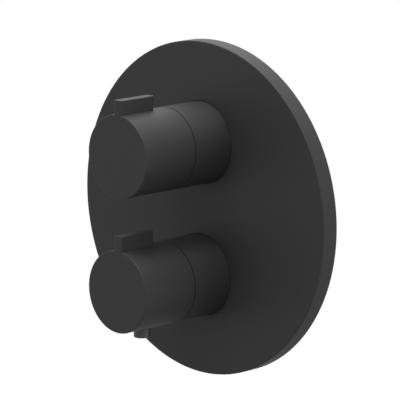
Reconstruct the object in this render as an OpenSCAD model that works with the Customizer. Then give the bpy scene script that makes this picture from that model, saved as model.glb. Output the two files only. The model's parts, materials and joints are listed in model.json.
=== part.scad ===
// Concealed thermostatic shower valve with a round faceplate, a flow and diverter
// handle above and a temperature handle with a safety button below.
// The origin is the centre of the faceplate on the finished wall, +Z is up and the
// user stands on the -Y side. Everything along a handle axis is measured outwards
// from the wall, so the parts inside the wall have negative distances.

/* [Faceplate] */
// Diameter of the round faceplate
plate_d = 200; // [185:1:240]
// Depth of the faceplate from the wall to its front
plate_t = 11; // [10:0.5:16]
// Thickness of the faceplate's front and rim
plate_wall = 2; // [1.5:0.1:2.5]
// Radius of the rounded front edge
plate_edge = 0.6; // [0.3:0.1:1.4]
// Gap that shows between the faceplate and each sleeve
plate_gap = 0.4; // [0.2:0.1:0.8]
// Width of the gasket inside the rim
gasket_w = 6; // [4:0.5:9]

/* [Handles] */
// Distance between the two handle axes
handle_pitch = 80; // [78:1:90]
// Outer diameter of the knobs and their sleeves
knob_d = 49; // [48:0.5:54]
// Length of each knob
knob_len = 39.5; // [38:0.5:50]
// Length of each fixed sleeve in front of the faceplate
sleeve_show = 28; // [24:0.5:34]
// Running gap between a knob and its sleeve
turn_gap = 0.7; // [0.3:0.1:0.9]
// Thickness of a knob's side wall
knob_wall = 2.5; // [2:0.1:3]
// Thickness of a knob's front face
knob_face_t = 3; // [2:0.1:3.5]
// Radius of a knob's rounded front edge
knob_edge = 0.6; // [0.3:0.1:1.2]

/* [Grip tabs] */
// Width of a grip tab
tab_w = 6; // [5:0.5:8]
// Length of a grip tab along the knob
tab_len = 26.5; // [22:0.5:30]
// How far a grip tab stands above the knob
tab_rise = 8.5; // [6:0.5:12]
// Radius of a grip tab's upright corners
tab_corner = 1; // [0.5:0.1:2]

/* [Safety button] */
// Diameter of the safety button
button_d = 9.8; // [8:0.2:11]
// How far the button stands out of the knob
button_rise = 5.5; // [4:0.5:7]
// Distance of the button's centre behind the knob's front
button_inset = 20; // [17:0.5:21]
// Travel of the button
button_travel = 2.5; // [1.5:0.1:2.8]

/* [Valve body] */
// Wall of the cast body behind its water gallery
casting_wall = 2.7; // [2.4:0.1:4]
// Wall of the brass carrier between a sleeve and its barrel
carrier_wall = 2.2; // [1.8:0.1:2.8]
// Distance of the side ports behind the wall
port_depth = 32; // [31:0.5:34]
// Distance from the centre line to the face of a side boss
boss_reach = 32; // [31:0.5:36]
// Minor radius of the half-inch pipe thread
pipe_thread_r = 9.32; // [9:0.01:9.6]
// Depth of the pipe thread
pipe_thread_len = 12; // [10:0.5:14]
// Hexagon of the pipe unions across flats
union_flats = 25; // [24:0.5:27]
// Distance between the fixing holes across the body
fixing_x = 64; // [60:1:70]
// Distance between the fixing holes up the body
fixing_z = 24; // [20:1:26]
// Diameter of the fixing holes
fixing_d = 5.5; // [4.5:0.1:6.5]

/* [Hidden] */
$fn = 96;

// Finishes
matt_black = "#2c2c2d";
cast_brass = "#b3935a";
turned_brass = "#c9a85e";
steel = "#b9bcc0";
rubber = "#1b1b1c";
white_plastic = "#e4e1d8";
grey_plastic = "#6d7073";
red_plastic = "#b8403a";
blue_plastic = "#3a67a8";
ceramic = "#ece6d8";
copper = "#b5714a";

// Clearances, and how far a cut runs past what it cuts
cut = 1;
seat_gap = 0.05;
fit_gap = 0.1;
slide_gap = 0.2;
free_gap = 0.3;

// Places along a handle axis, outwards from the wall
sleeve_front = plate_t + sleeve_show;
knob_back = sleeve_front + turn_gap;
knob_front = knob_back + knob_len;
knob_floor = knob_front - knob_face_t;
plate_floor = plate_t - plate_wall;
knob_r = knob_d / 2;
knob_bore_r = knob_r - knob_wall;
plate_r = plate_d / 2;
axis_z = handle_pitch / 2;

// Faceplate: collars around the two holes, and the rim's back edge
collar_wall = 2;
collar_len = 6;
plate_hole_r = knob_r + fit_gap + seat_gap;
rim_back_chamfer = 0.3;
arc_steps = 6;

// Sleeves and the carriers that they screw on
sleeve_wall = 1.6;
sleeve_lip_t = 1.5;
sleeve_lip_w = 4.2;
sleeve_lap_w = 0.8;
sleeve_lap_len = turn_gap + free_gap;
sleeve_chamfer = 0.15;
sleeve_bore_r = knob_r - sleeve_wall;
sleeve_lip_r = knob_r - sleeve_lip_w;
sleeve_lap_r = sleeve_lip_r + sleeve_lap_w;
sleeve_back = 3.2;
grip_ring_s = plate_floor - collar_len / 2;
grip_groove_w = 1.8;
grip_groove_depth = 0.9;
carrier_r = sleeve_bore_r - fit_gap;
barrel_r = carrier_r - carrier_wall - fit_gap;
carrier_front = 12.8;
carrier_back = 0.6;

// Grooves for round rubber rings
seal_groove_w = 1.9;
seal_groove_depth = 1;
seal_land = 1;

// Water ways of the valve body, from the port's depth
feed_offset = 4.5;
feed_r = 3;
gallery_r = 3.2;
neck_front = 8;
mouth_floor = 5;
barrel_wall = 2.5;
mouth_r = barrel_r - barrel_wall;
mouth_step = 2;
seat_r = mouth_r - mouth_step;
seat_step = 2.5;
seat_floor = port_depth - feed_offset - feed_r - seat_step;
lower_bore_r = 13.2;
lower_seal_depth = port_depth + feed_offset + feed_r + seal_land + seal_groove_w / 2;
thermo_tail = lower_seal_depth + seal_groove_w / 2 + seal_land;
tail_gap = 0.5;
lower_bore_floor = thermo_tail + tail_gap;
plenum_r = 9;
plenum_len = 4;
gallery_depth = lower_bore_floor + gallery_r;
body_depth = gallery_depth + gallery_r + casting_wall;
chamber_floor_t = 2.5;
disc_port_r = 3;
disc_port_x = 7.5;
boss_r = 13.5;
top_port_gap = 0.5;
top_boss_rise = boss_r + top_port_gap;
top_port_depth = seat_floor + chamber_floor_t + union_flats / 2 + top_port_gap;
web_w = 20;
lug_margin = 6;
lug_t = 4.5;
casting_chamfer = 0.8;

// Pipe unions, with the filter and the non-return valve behind each inlet
spigot_r = 10.5;
spigot_len = 8;
spigot_seal_depth = 4;
union_step = 1;
union_len = pipe_thread_len + union_step;
hex_chamfer = 0.8;
check_bore_r = 7.7;
check_floor_wall = 2.8;
check_bore_len = boss_reach - lower_bore_r - check_floor_wall;
check_r = check_bore_r - fit_gap;
check_wall = 2.2;
check_len = 12.4;
check_front = check_len - check_bore_len;
check_inner_r = check_r - check_wall;
check_seat_r = 4.2;
check_seat_t = 1.6;
spider_inset = 3.2;
spider_t = 1.2;
spider_hub_r = 2;
spider_arms = 3;
spider_arm_w = 1.2;
spider_back = spider_inset - check_bore_len;
poppet_t = 1.8;
poppet_gap = 0.4;
poppet_stem_r = 0.9;
poppet_tail = 0.5;
poppet_nose = 1.2;
poppet_nose_gap = 0.5;
poppet_front = check_front - check_seat_t - seat_gap;
check_spring_r = 2.7;
check_spring_wire = 0.6;
check_spring_turns = 2.5;
filter_len = 3.8;
filter_rim = 1.4;
filter_plate_t = 1;
filter_bar = 0.8;
filter_bars = 5;

// What the two cartridges share: flange, retaining nut and spindle
cartridge_r = seat_r - slide_gap;
flange_t = 3;
flange_r = mouth_r - slide_gap;
flange_front = flange_t - mouth_floor;
nut_bore_r = 12.5;
nut_hex_t = 4;
nut_flats = 29;
stem_r = 5;
stem_front = 22;
spindle_r = 4;
spindle_tip = 44;
spline_count = 12;
spline_w = 0.9;
spline_depth = 0.5;
circlip_t = 1;
circlip_grip = 0.8;
circlip_w = 2;
circlip_mouth = 6;

// Diverter cartridge, from the chamber's floor outwards
base_seal_t = 1.2;
disc_t = 3.5;
disc_groove_depth = 1.6;
driver_t = 5;
driver_lug_w = 4;
driver_lug_len = 3;
driver_lug_t = 1.6;
diverter_shell_t = 2.7;
diverter_bore_r = cartridge_r - diverter_shell_t;
driver_r = diverter_bore_r - slide_gap;
base_seal_front = base_seal_t - seat_floor;
fixed_disc_front = base_seal_front + disc_t;
turning_disc_back = fixed_disc_front + seat_gap;
turning_disc_front = turning_disc_back + disc_t;
driver_back = turning_disc_front + seat_gap;
driver_front = driver_back + driver_t;
diverter_roof = driver_front + seat_gap;
diverter_neck_r = 9.5;
diverter_neck_front = 14;
diverter_seal_depth = 13;
diverter_stem_seal_s = 7;

// Thermostat cartridge
thermo_wall = 2;
thermo_r = lower_bore_r - slide_gap;
thermo_bore_r = 9.2;
thermo_exit_r = 7.4;
thermo_exit_t = 1.5;
thermo_neck_r = 12;
thermo_neck_front = 20;
upper_seal_gap = 4;
upper_seal_depth = seat_floor - upper_seal_gap;
window_r = 2;
windows = 6;
gland_len = 8;
gland_back = thermo_neck_front - gland_len;
gland_bore_r = 10.4;
gland_r = gland_bore_r - fit_gap;
gland_seal_s = 14.5;
gland_key_r = 1;
gland_key_x = 7.5;
gland_key_depth = 3;
thermo_stem_seal_s = 16;
collar_r = 8.6;
collar_t = 2.4;
collar_back = gland_back - seat_gap - collar_t;
screw_r = 4;
screw_gap = 0.5;
nut_r = thermo_bore_r - fit_gap;
nut_front = 8;
nut_thread_len = 8;
nut_roof = nut_front - nut_thread_len;
nut_tail = 14;
nut_cavity_r = 6.4;
key_w = 2.4;
key_rise = 1;
key_len = 9;
key_room = 2;
key_slot_r = nut_r + key_rise + slide_gap;
nut_clip_inset = 0.8;
nut_clip_w = 1.8;
nut_clip_back = nut_clip_inset - nut_tail;
nut_clip_front = nut_clip_back + circlip_t;
cup_back = nut_clip_front + seat_gap;
cup_flange_t = 1.2;
cup_boss_r = 3.2;
cup_boss_t = 3;
cup_socket_depth = 3;
overload_spring_r = 4.9;
overload_spring_wire = 1.2;
overload_spring_turns = 4.5;
shuttle_len = 6;
shuttle_wall = 1.6;
shuttle_back = port_depth + shuttle_len / 2;
shuttle_front = port_depth - shuttle_len / 2;
shuttle_r = thermo_bore_r - fit_gap;
shuttle_hub_wall = 1.2;
shuttle_hub_inset = 1.5;
shuttle_arms = 4;
shuttle_arm_w = 2;
shuttle_arm_t = 3;
element_r = 4.8;
element_tail_gap = 3.4;
element_tail = thermo_tail - element_tail_gap;
element_shoulder_gap = 3;
element_shoulder = shuttle_front - element_shoulder_gap;
element_flange_r = 6.4;
element_flange_t = 1;
element_neck_r = 3.4;
element_neck_len = 7;
element_pin_r = 1.5;
return_spring_r = 8.2;
return_spring_wire = 1.2;
return_spring_turns = 3.5;

// Temperature stop ring on the thermostat's neck
stop_ring_back = 13;
stop_ring_t = 2.5;
stop_ring_r = 20;
stop_lug_depth = 2.5;
stop_lug_inset = 0.5;
stop_lug_t = 4;
stop_lug_angle = 12;
stop_lug_start = -81;
stop_teeth = 18;
stop_tooth_w = 1;
stop_tooth_depth = 0.5;
stop_ring_front = stop_ring_back + stop_ring_t;
stop_lug_front = stop_ring_front + stop_lug_t;

// Knob boss, the adapters and the grub screws
adapter_r = 6;
adapter_socket_len = 18;
adapter_end_gap = 0.2;
adapter_front_gap = 2.5;
adapter_back = spindle_tip + adapter_end_gap - adapter_socket_len;
adapter_front = knob_floor - adapter_front_gap;
hub_r = 9.5;
hub_inset = 3.5;
hub_back = knob_back + hub_inset;
grub_d = 4;
grub_len = 4.4;
grub_inset = 3.5;
grub_s = hub_back + grub_inset;
grub_socket_r = 1.15;
grub_socket_depth = 2;
grub_access_r = 2.4;
flow_grub_angle = -90;
temperature_grub_angle = -150;

// Grip tab's seat and screw
tab_edge = 0.4;
tab_seat_depth = 4.5;
tab_seat_t = 2.5;
tab_seat_margin = 2;
tab_top = knob_r + tab_rise;
tab_seat_r = knob_r - tab_seat_depth;
tab_back = knob_front - tab_len;
tab_screw_d = 3;
tab_screw_len = 8.5;
tab_screw_head_r = 2.75;
tab_screw_head_t = 2;
tab_screw_head_out = tab_seat_r - tab_seat_t;
tab_screw_share = 0.55;
tab_screw_s = tab_back + tab_len * tab_screw_share;

// Safety button, its pawl, guide and spring, measured outwards from the handle's axis
button_r = button_d / 2;
button_edge = 0.6;
button_flange_w = 1.3;
button_flange_r = button_r + button_flange_w;
button_flange_t = 1.6;
button_flange_out = sqrt(pow(knob_bore_r, 2) - pow(button_flange_r, 2)) - fit_gap;
button_flange_in = button_flange_out - button_flange_t;
button_s = knob_front - button_inset;
button_out = knob_r + button_rise;
pawl_t = 2;
pawl_w = 5;
pawl_in = button_flange_in - pawl_t;
pawl_tip = stop_lug_front + free_gap;
guide_wall = 1.1;
guide_bore_r = button_flange_r + free_gap;
guide_r = guide_bore_r + guide_wall;
guide_out = sqrt(pow(knob_bore_r, 2) - pow(guide_r, 2)) - fit_gap;
pad_out = 10;
pad_half = 8;
button_spring_wire = 0.8;
button_spring_turns = 3.5;
button_spring_r = 4.2;

// A frame on a handle axis: X to the right, Y up and Z outwards from the wall
module on_axis(z) translate([0, 0, z]) rotate([90, 0, 0]) children();

module on_flow_axis() on_axis(axis_z) children();

module on_temperature_axis() on_axis(-axis_z) children();

module on_both_axes() {
  on_flow_axis() children();
  on_temperature_axis() children();
}

// A plain cylinder between two places along Z
module disc(r, from, to) translate([0, 0, from]) cylinder(r = r, h = to - from);

module tube(r_out, r_in, from, to) {
  difference() {
    disc(r_out, from, to);
    disc(r_in, from - cut, to + cut);
  }
}

// A turned solid along Z: each step gives a radius and the place where it starts
function step_outline(steps, end) = concat(
  [[0, steps[0][1]]],
  [for (i = [0:len(steps) - 1])
    let (next = i + 1 < len(steps) ? steps[i + 1][1] : end)
    each [[steps[i][0], steps[i][1]], [steps[i][0], next]]],
  [[0, end]]
);

module turned(steps, end) rotate_extrude() polygon(step_outline(steps, end));

// A frame on a radius at an angle, with Z pointing outwards along it
module radially(angle, at) translate([0, 0, at]) rotate([0, 0, angle]) rotate([0, 90, 0]) children();

// A rubber ring of round section that fills the room between two radii
module o_ring(r_in, r_out, at) {
  room = r_out - r_in;
  translate([0, 0, at])
    rotate_extrude()
      translate([r_in + room / 2, 0])
        circle(d = room - 2 * seat_gap, $fn = 24);
}

// What is cut for a rubber ring, outside a shaft
module ring_groove(r, at)
  tube(r + cut, r - seal_groove_depth, at - seal_groove_w / 2, at + seal_groove_w / 2);

// What is cut for splines in a shaft, and for the bore that slides over them
module spline_grooves(r, depth, width, count, from, to) {
  for (i = [0:count - 1]) rotate([0, 0, 360 * i / count])
    translate([r - depth, -width / 2, from]) cube([depth + cut, width, to - from]);
}

module splined_bore(r, depth, width, count, from, to) {
  difference() {
    disc(r + fit_gap, from, to);
    spline_grooves(r + fit_gap, depth, width - 2 * fit_gap, count, from - cut, to + cut);
  }
}

// A snap ring on a shaft, open on one side, and the groove that holds it
module circlip(shaft_r, at) {
  r_in = shaft_r - circlip_grip;
  difference() {
    tube(r_in + circlip_w, r_in, at, at + circlip_t);
    translate([-circlip_mouth / 2, 0, at - cut])
      cube([circlip_mouth, shaft_r + circlip_w, circlip_t + 2 * cut]);
  }
}

module circlip_groove(shaft_r, at)
  tube(shaft_r + cut, shaft_r - circlip_grip - seat_gap, at - seat_gap, at + circlip_t + seat_gap);

// Points of an arc about a centre, from one angle to another
function arc(x, y, r, from, to) =
  [for (i = [0:arc_steps]) let (a = from + (to - from) * i / arc_steps) [x + r * cos(a), y + r * sin(a)]];

// A hexagon bar, with a flat facing up, whose ends are turned off at the corners
module hexagon(flats, from, to, chamfer) {
  corner_r = flats / 2 / cos(30);
  intersection() {
    translate([0, 0, from]) cylinder(r = corner_r, h = to - from, $fn = 6);
    rotate_extrude() polygon([
      [0, from], [corner_r - chamfer, from], [corner_r, from + chamfer],
      [corner_r, to - chamfer], [corner_r - chamfer, to], [0, to]
    ]);
  }
}

// A closed helix of round wire along Z, with its ends on two planes
spring_sides = 6;
spring_steps = 12;

function helix_point(r, from, to, turns, t) =
  [r * cos(360 * turns * t), r * sin(360 * turns * t), from + (to - from) * t];

module helical_spring(r, wire, turns, from, to) {
  steps = round(turns * spring_steps);
  low = from + wire / 2;
  high = to - wire / 2;
  rings = [
    for (i = [0:steps])
      let (
        t = i / steps,
        a = 360 * turns * t,
        p = helix_point(r, low, high, turns, t),
        climb = (high - low) / (2 * PI * r * turns),
        tangent_length = sqrt(1 + climb * climb),
        outward = [cos(a), sin(a), 0],
        across = [climb * sin(a), -climb * cos(a), 1] / tangent_length
      )
      [for (k = [0:spring_sides - 1])
        let (b = 360 * k / spring_sides)
        p + wire / 2 * (cos(b) * outward + sin(b) * across)]
  ];
  points = [for (ring = rings) for (q = ring) q];
  walls = [
    for (i = [0:steps - 1]) for (k = [0:spring_sides - 1])
      let (
        n = (k + 1) % spring_sides,
        a = i * spring_sides + k,
        b = i * spring_sides + n,
        c = (i + 1) * spring_sides + n,
        d = (i + 1) * spring_sides + k
      )
      each [[a, b, c], [a, c, d]]
  ];
  first = [for (k = [1:spring_sides - 2]) [0, k + 1, k]];
  last_ring = steps * spring_sides;
  last = [for (k = [1:spring_sides - 2]) [last_ring, last_ring + k, last_ring + k + 1]];
  polyhedron(points, concat(walls, first, last));
}

// Faceplate

module plate_shell() {
  rotate_extrude() polygon(concat(
    [[0, plate_floor], [0, plate_t]],
    arc(plate_r - plate_edge, plate_t - plate_edge, plate_edge, 90, 0),
    [
      [plate_r, rim_back_chamfer], [plate_r - rim_back_chamfer, 0],
      [plate_r - plate_wall, 0], [plate_r - plate_wall, plate_floor]
    ]
  ));
}

module faceplate() {
  color(matt_black) difference() {
    union() {
      on_axis(0) plate_shell();
      on_both_axes() disc(plate_hole_r + collar_wall, plate_floor - collar_len, plate_floor + seat_gap);
    }
    on_both_axes() {
      disc(plate_hole_r, plate_floor - collar_len - cut, plate_t);
      disc(knob_r + plate_gap, plate_floor, plate_t + cut);
    }
  }
}

module faceplate_gasket() {
  gasket_r = plate_r - plate_wall - seat_gap;
  color(rubber) on_axis(0) tube(gasket_r, gasket_r - gasket_w, 0, plate_floor);
}

module faceplate_grip_rings() {
  color(rubber) on_both_axes() o_ring(knob_r - grip_groove_depth, plate_hole_r, grip_ring_s);
}

// Sleeves and their carriers

// A low rim on its lip laps the knob's back, so that the running gap isn't open right through
module sleeve() {
  color(matt_black) difference() {
    rotate_extrude() polygon([
      [sleeve_bore_r, sleeve_back], [knob_r, sleeve_back],
      [knob_r, sleeve_front - sleeve_chamfer], [knob_r - sleeve_chamfer, sleeve_front],
      [sleeve_lap_r, sleeve_front], [sleeve_lap_r, sleeve_front + sleeve_lap_len],
      [sleeve_lip_r, sleeve_front + sleeve_lap_len], [sleeve_lip_r, sleeve_front - sleeve_lip_t],
      [sleeve_bore_r, sleeve_front - sleeve_lip_t]
    ]);
    tube(knob_r + cut, knob_r - grip_groove_depth,
      grip_ring_s - grip_groove_w / 2, grip_ring_s + grip_groove_w / 2);
  }
}

module sleeve_carrier() {
  color(turned_brass) tube(carrier_r, carrier_r - carrier_wall, carrier_back, carrier_front);
}

module flow_sleeve() on_flow_axis() sleeve();

module temperature_sleeve() on_temperature_axis() sleeve();

module flow_sleeve_carrier() on_flow_axis() sleeve_carrier();

module temperature_sleeve_carrier() on_temperature_axis() sleeve_carrier();

// Valve body and its ports

// Each port's own frame has its axis along Z, pointing out of the body, and its
// origin in the middle of the boss face
HOT = 0;
COLD = 1;
HANDSET = 2;
OVERHEAD = 3;
PORTS = [HOT, COLD, HANDSET, OVERHEAD];
INLETS = [HOT, COLD];

module on_port(port) {
  on_axis(0) {
    if (port == HOT) translate([-boss_reach, -axis_z, -port_depth]) rotate([0, -90, 0]) children();
    if (port == COLD) translate([boss_reach, -axis_z, -port_depth]) rotate([0, 90, 0]) children();
    if (port == HANDSET) translate([-boss_reach, axis_z, -port_depth]) rotate([0, -90, 0]) children();
    if (port == OVERHEAD)
      translate([0, axis_z + top_boss_rise, -top_port_depth]) rotate([-90, 0, 0]) children();
  }
}

module lug_plate() {
  half_x = fixing_x / 2;
  half_y = fixing_z / 2;
  translate([0, 0, -body_depth]) linear_extrude(lug_t) {
    square([2 * half_x, 2 * (half_y + lug_margin)], center = true);
    square([2 * (half_x + lug_margin), 2 * half_y], center = true);
    for (x = [-half_x, half_x], y = [-half_y, half_y]) translate([x, y]) circle(lug_margin);
  }
}

module barrel(back) {
  rotate_extrude() polygon([
    [0, -back], [barrel_r - casting_chamfer, -back], [barrel_r, casting_chamfer - back],
    [barrel_r, neck_front], [0, neck_front]
  ]);
}

module body_casting() {
  on_temperature_axis() barrel(body_depth);
  on_flow_axis() barrel(seat_floor + chamber_floor_t);
  on_axis(0) {
    translate([-web_w / 2, -axis_z, -body_depth])
      cube([web_w, 2 * axis_z, body_depth - seat_floor]);
    lug_plate();
  }
  for (port = INLETS) on_port(port) disc(boss_r, -boss_reach, 0);
  on_port(HANDSET) disc(boss_r, -boss_reach - web_w / 2, 0);
  on_port(OVERHEAD) disc(boss_r, -axis_z / 2 - top_boss_rise, 0);
}

module valve_body() {
  color(cast_brass) difference() {
    body_casting();
    on_temperature_axis() turned([
      [plenum_r, -lower_bore_floor - plenum_len], [lower_bore_r, -lower_bore_floor],
      [seat_r, -seat_floor], [mouth_r, -mouth_floor]
    ], neck_front + cut);
    on_flow_axis() {
      turned([[seat_r, -seat_floor], [mouth_r, -mouth_floor]], neck_front + cut);
      disc(gallery_r, -gallery_depth, -seat_floor + cut);
      translate([-disc_port_x, 0, 0]) disc(disc_port_r, -port_depth, -seat_floor + cut);
      translate([disc_port_x, 0, 0]) disc(disc_port_r, -top_port_depth, -seat_floor + cut);
    }
    // mixed water rises from the thermostat's plenum to the diverter
    on_axis(0) translate([0, -axis_z, -gallery_depth]) rotate([-90, 0, 0]) disc(gallery_r, 0, 2 * axis_z);
    // the left disc port leads to the handset outlet, and the right one to the overhead outlet
    on_port(HANDSET) disc(disc_port_r, disc_port_x - boss_reach, -spigot_len);
    on_port(OVERHEAD) translate([disc_port_x, 0, 0]) disc(disc_port_r, -top_boss_rise, -spigot_len);
    for (port = PORTS) on_port(port) disc(spigot_r + fit_gap, -spigot_len - seat_gap, cut);
    // the hot feed enters the outer channel of the thermostat, the cold feed the inner one
    for (port = INLETS) on_port(port) {
      disc(check_bore_r, -check_bore_len, 0);
      translate([feed_offset, 0, 0]) disc(feed_r, lower_bore_r / 2 - boss_reach, cut - check_bore_len);
    }
    on_axis(0) for (x = [-1, 1], y = [-1, 1])
      translate([x * fixing_x / 2, y * fixing_z / 2, 0])
        disc(fixing_d / 2, -body_depth - cut, lug_t + cut - body_depth);
  }
}

module pipe_union() {
  color(turned_brass) difference() {
    union() {
      hexagon(union_flats, 0, union_len, hex_chamfer);
      disc(spigot_r, -spigot_len, seat_gap);
    }
    turned([[check_bore_r, -spigot_len - cut], [pipe_thread_r, union_step]], union_len + cut);
    ring_groove(spigot_r, -spigot_seal_depth);
  }
}

module hot_inlet_union() on_port(HOT) pipe_union();

module cold_inlet_union() on_port(COLD) pipe_union();

module handset_outlet_union() on_port(HANDSET) pipe_union();

module overhead_outlet_union() on_port(OVERHEAD) pipe_union();

module union_seals() {
  color(rubber) for (port = PORTS) on_port(port)
    o_ring(spigot_r - seal_groove_depth, spigot_r + fit_gap, -spigot_seal_depth);
}

// Filter and non-return valve behind each inlet union

// A flanged sieve whose slots let the water through
module filter() {
  inner_r = check_r - filter_rim;
  pitch = 2 * inner_r / (filter_bars + 1);
  tube(check_r, inner_r, check_front, check_front + filter_len);
  intersection() {
    disc(inner_r + seat_gap, check_front, check_front + filter_plate_t);
    for (i = [1:filter_bars], turn = [0, 90]) rotate([0, 0, turn])
      translate([i * pitch - inner_r - filter_bar / 2, -check_r, check_front])
        cube([filter_bar, 2 * check_r, filter_plate_t]);
  }
}

module hot_filter() color(red_plastic) on_port(HOT) filter();

module cold_filter() color(blue_plastic) on_port(COLD) filter();

module check_housing() {
  difference() {
    disc(check_r, -check_bore_len, check_front);
    disc(check_inner_r, -check_bore_len - cut, check_front - check_seat_t);
    disc(check_seat_r, -check_bore_len, check_front + cut);
  }
  difference() {
    union() {
      disc(spider_hub_r, spider_back, spider_back + spider_t);
      for (i = [0:spider_arms - 1]) rotate([0, 0, 360 * i / spider_arms])
        translate([0, -spider_arm_w / 2, spider_back])
          cube([check_inner_r + check_wall / 2, spider_arm_w, spider_t]);
    }
    disc(poppet_stem_r + fit_gap, spider_back - cut, spider_back + spider_t + cut);
  }
}

module hot_check_housing() color(white_plastic) on_port(HOT) check_housing();

module cold_check_housing() color(white_plastic) on_port(COLD) check_housing();

module check_poppet() {
  turned([
    [poppet_stem_r, spider_back - poppet_tail],
    [check_inner_r - poppet_gap, poppet_front - poppet_t],
    [check_seat_r - poppet_nose_gap, poppet_front]
  ], poppet_front + poppet_nose);
}

module hot_check_poppet() color(red_plastic) on_port(HOT) check_poppet();

module cold_check_poppet() color(blue_plastic) on_port(COLD) check_poppet();

module check_spring() {
  helical_spring(check_spring_r, check_spring_wire, check_spring_turns,
    spider_back + spider_t, poppet_front - poppet_t);
}

module hot_check_spring() color(steel) on_port(HOT) check_spring();

module cold_check_spring() color(steel) on_port(COLD) check_spring();

// Pieces that both cartridges have

module retaining_nut() {
  color(turned_brass) difference() {
    union() {
      disc(flange_r, flange_front, neck_front);
      hexagon(nut_flats, neck_front - hex_chamfer, neck_front + nut_hex_t, hex_chamfer);
    }
    disc(nut_bore_r, flange_front - cut, neck_front + nut_hex_t + cut);
  }
}

module stem_splines()
  spline_grooves(spindle_r, spline_depth, spline_w, spline_count, adapter_back - cut, spindle_tip + cut);

// Diverter cartridge

// The water ways of the base seal and the fixed disc: the inlet in the middle and
// one outlet on each side
module disc_ports(from, to) {
  disc(gallery_r, from, to);
  for (side = [-1, 1]) translate([side * disc_port_x, 0, 0]) disc(disc_port_r, from, to);
}

module diverter_housing() {
  color(grey_plastic) on_flow_axis() difference() {
    turned([
      [cartridge_r, base_seal_front], [flange_r, -mouth_floor], [diverter_neck_r, flange_front]
    ], diverter_neck_front);
    turned([
      [diverter_bore_r, base_seal_front - cut], [stem_r + fit_gap, diverter_roof]
    ], diverter_neck_front + cut);
    ring_groove(cartridge_r, -diverter_seal_depth);
  }
}

module diverter_nut() on_flow_axis() retaining_nut();

module diverter_base_seal() {
  color(rubber) on_flow_axis() difference() {
    disc(cartridge_r, -seat_floor, base_seal_front);
    disc_ports(-seat_floor - cut, base_seal_front + cut);
  }
}

module diverter_fixed_disc() {
  color(ceramic) on_flow_axis() difference() {
    disc(diverter_bore_r - fit_gap, base_seal_front, fixed_disc_front);
    disc_ports(base_seal_front - cut, fixed_disc_front + cut);
  }
}

// The two lugs of the driver, or the wider notches that they fit in
module driver_lugs(room) {
  for (side = [0, 180]) rotate([0, 0, side])
    translate([driver_r - driver_lug_len - room, -driver_lug_w / 2 - room, driver_back - driver_lug_t - room])
      cube([driver_lug_len + cut, driver_lug_w + 2 * room, driver_lug_t + room + cut]);
}

// Its channel points up at rest, so that both outlets are shut, and to one outlet
// a quarter turn either way
module diverter_turning_disc() {
  color(ceramic) on_flow_axis() difference() {
    disc(driver_r, turning_disc_back, turning_disc_front);
    translate([0, 0, turning_disc_back - cut]) linear_extrude(disc_groove_depth + cut) {
      circle(disc_port_r);
      translate([-disc_port_r, 0]) square([2 * disc_port_r, disc_port_x]);
      translate([0, disc_port_x]) circle(disc_port_r);
    }
    driver_lugs(fit_gap);
  }
}

module diverter_spindle() {
  color(turned_brass) on_flow_axis() difference() {
    union() {
      turned([
        [driver_r, driver_back], [stem_r, driver_front], [spindle_r, stem_front]
      ], spindle_tip);
      intersection() {
        disc(driver_r, driver_back - driver_lug_t, driver_back + seat_gap);
        driver_lugs(0);
      }
    }
    stem_splines();
    ring_groove(stem_r, diverter_stem_seal_s);
    circlip_groove(stem_r, diverter_neck_front + seat_gap);
  }
}

module diverter_circlip() color(steel) on_flow_axis() circlip(stem_r, diverter_neck_front + seat_gap);

// Thermostat cartridge

// Ring channel and windows round the housing at one feed
module feed_channel(depth) {
  tube(thermo_r + cut, thermo_bore_r + thermo_wall, -depth - feed_r, feed_r - depth);
  for (i = [0:windows - 1]) radially(360 * i / windows, -depth)
    disc(window_r, thermo_bore_r - cut, thermo_r);
}

module thermostat_housing() {
  color(white_plastic) on_temperature_axis() difference() {
    turned([
      [thermo_r, -thermo_tail], [cartridge_r, -seat_floor], [flange_r, -mouth_floor],
      [thermo_neck_r, flange_front]
    ], thermo_neck_front);
    turned([
      [thermo_exit_r, -thermo_tail - cut], [thermo_bore_r, thermo_exit_t - thermo_tail],
      [gland_bore_r, gland_back]
    ], thermo_neck_front + cut);
    for (offset = [-feed_offset, feed_offset]) feed_channel(port_depth + offset);
    // the regulating nut slides along these two slots without turning
    translate([-key_slot_r, -key_w / 2 - slide_gap, -nut_tail - key_room])
      cube([2 * key_slot_r, key_w + 2 * slide_gap, nut_tail + key_room + gland_back]);
    ring_groove(cartridge_r, -upper_seal_depth);
    for (depth = [port_depth, lower_seal_depth]) ring_groove(thermo_r, -depth);
    spline_grooves(thermo_neck_r, stop_tooth_depth, stop_tooth_w, stop_teeth,
      stop_ring_back - fit_gap, thermo_neck_front + cut);
  }
}

module thermostat_nut() on_temperature_axis() retaining_nut();

module thermostat_gland() {
  color(turned_brass) on_temperature_axis() difference() {
    disc(gland_r, gland_back, thermo_neck_front);
    disc(stem_r + fit_gap, gland_back - cut, thermo_neck_front + cut);
    ring_groove(gland_r, gland_seal_s);
    for (side = [-1, 1]) translate([side * gland_key_x, 0, 0])
      disc(gland_key_r, thermo_neck_front - gland_key_depth, thermo_neck_front + cut);
  }
}

module thermostat_spindle() {
  color(turned_brass) on_temperature_axis() difference() {
    turned([
      [screw_r, nut_roof + screw_gap], [collar_r, collar_back], [stem_r, collar_back + collar_t],
      [spindle_r, stem_front]
    ], spindle_tip);
    stem_splines();
    ring_groove(stem_r, thermo_stem_seal_s);
  }
}

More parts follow.
